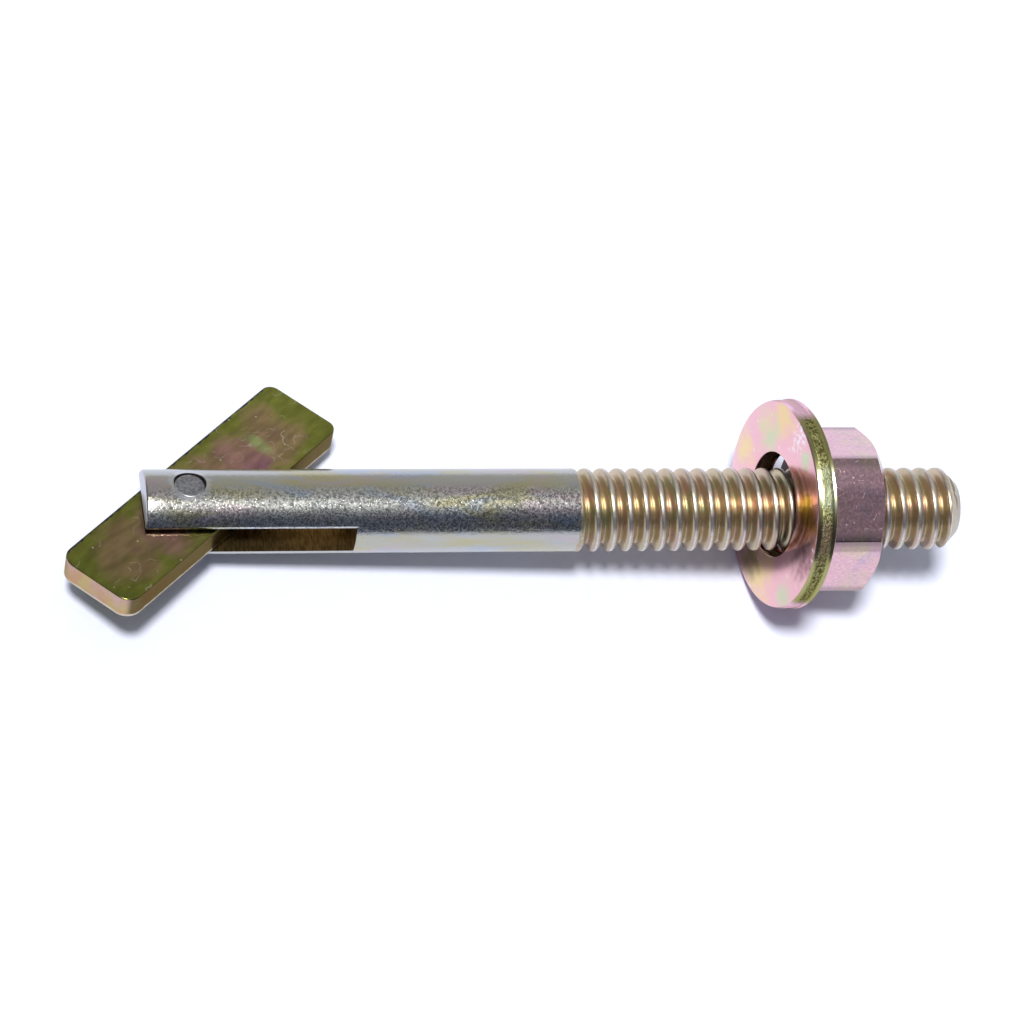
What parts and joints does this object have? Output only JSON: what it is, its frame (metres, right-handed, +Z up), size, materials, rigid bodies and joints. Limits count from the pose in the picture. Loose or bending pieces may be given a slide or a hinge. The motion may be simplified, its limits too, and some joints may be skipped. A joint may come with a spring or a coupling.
{
  "type": "gravity toggle bolt",
  "caption": "Slotted stud with a flat bar that swings on a cross pin, and a washer and hex nut on its thread, for fastening through a hollow wall.",
  "frame": {"origin": "on the ground, under the middle of the bolt as it lies", "axes": "+X along the bolt from the slotted tip to the threaded end, +Z up"},
  "size_m": [0.0691, 0.0212, 0.0161],
  "materials": {
    "stud_zinc": "yellow chromated zinc, worn to silver on the shank",
    "pin_steel": "dull bare steel",
    "bar_zinc": "yellow chromated zinc, olive to purple",
    "washer_zinc": "yellow chromated zinc, pink and yellow sheen",
    "nut_zinc": "yellow chromated zinc, pink sheen"
  },
  "bodies": {
    "stud": {"stud": "stud_zinc", "pivot_pin": "pin_steel"},
    "toggle_bar": {"toggle_bar": "bar_zinc"},
    "washer": {"washer": "washer_zinc"},
    "hex_nut": {"hex_nut": "nut_zinc"}
  },
  "joints": [
    {"name": "toggle_swing", "type": "hinge", "parent": "stud", "child": "toggle_bar", "pos_m": [-0.02504, -0.00132, 0.00343], "axis": [-0.0877, 0.2655, 0.9601], "range_deg": [-14.5, 284]},
    {"name": "washer_slide", "type": "slide", "parent": "stud", "child": "washer", "axis": [0.9959, 0, 0.091], "range_m": [-0.0175, 0.0065]},
    {"name": "nut_turn", "type": "hinge", "parent": "washer", "child": "hex_nut", "pos_m": [0.02216, -0.00132, 0.00774], "axis": [0.9959, 0, 0.091], "range_deg": [-4961.6, 1843.5]}
  ],
  "couplings": [
    {"joint": "nut_turn", "follows": "washer_slide", "rad_per_m": 4947.4}
  ]
}
